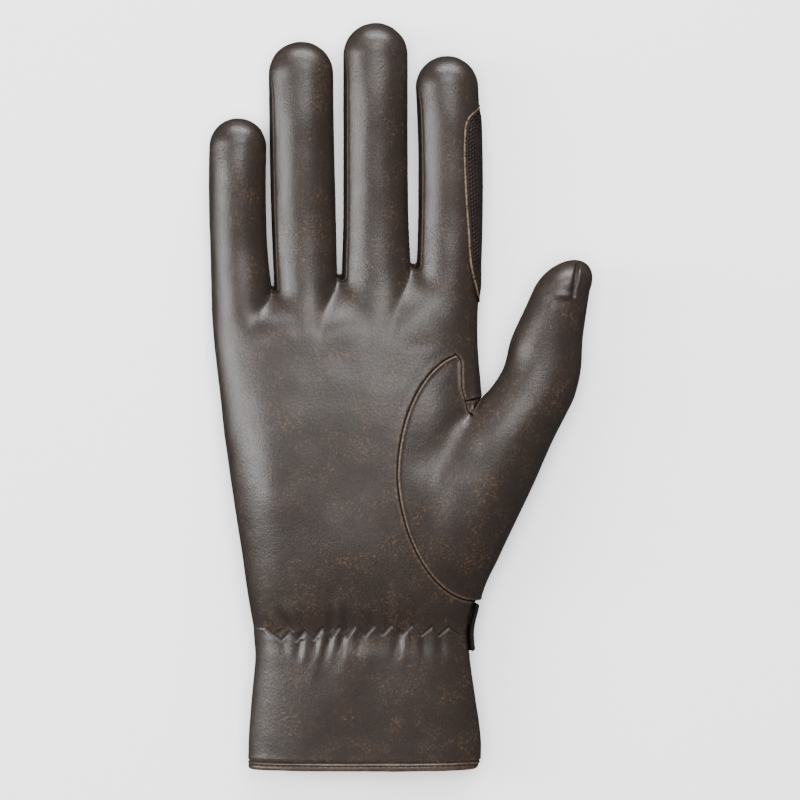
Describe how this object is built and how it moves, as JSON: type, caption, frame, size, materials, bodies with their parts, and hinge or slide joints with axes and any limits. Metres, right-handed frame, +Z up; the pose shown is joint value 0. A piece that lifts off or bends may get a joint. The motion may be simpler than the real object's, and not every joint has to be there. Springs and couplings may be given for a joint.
{
  "type": "riding glove",
  "caption": "Right-hand leather riding glove with set-in thumb, side strips between the fingers, a patch on the index finger, a gathered wrist and a short open cuff.",
  "frame": {"origin": "on the flat back of the hand, at the resting surface, under the middle of the glove", "axes": "+X to the thumb side, +Y to the fingertips, +Z up out of the palm"},
  "size_m": [0.1276, 0.2482, 0.0321],
  "materials": {
    "glove_leather": "smooth satin sheepskin, dark brown with tan mottling",
    "side_leather": "thin dark brown leather",
    "patch_leather": "perforated dark brown leather",
    "trim_leather": "folded dark brown leather"
  },
  "bodies": {
    "root": {"palm_panel": "glove_leather", "back_panel": "glove_leather", "thumb_panel": "glove_leather", "thumb_quirk": "side_leather", "fourchette_little_ring": "side_leather", "fourchette_ring_middle": "side_leather", "fourchette_middle_index": "side_leather", "index_patch": "patch_leather", "cuff_hem": "trim_leather", "closure_tab": "trim_leather"}
  },
  "joints": []
}
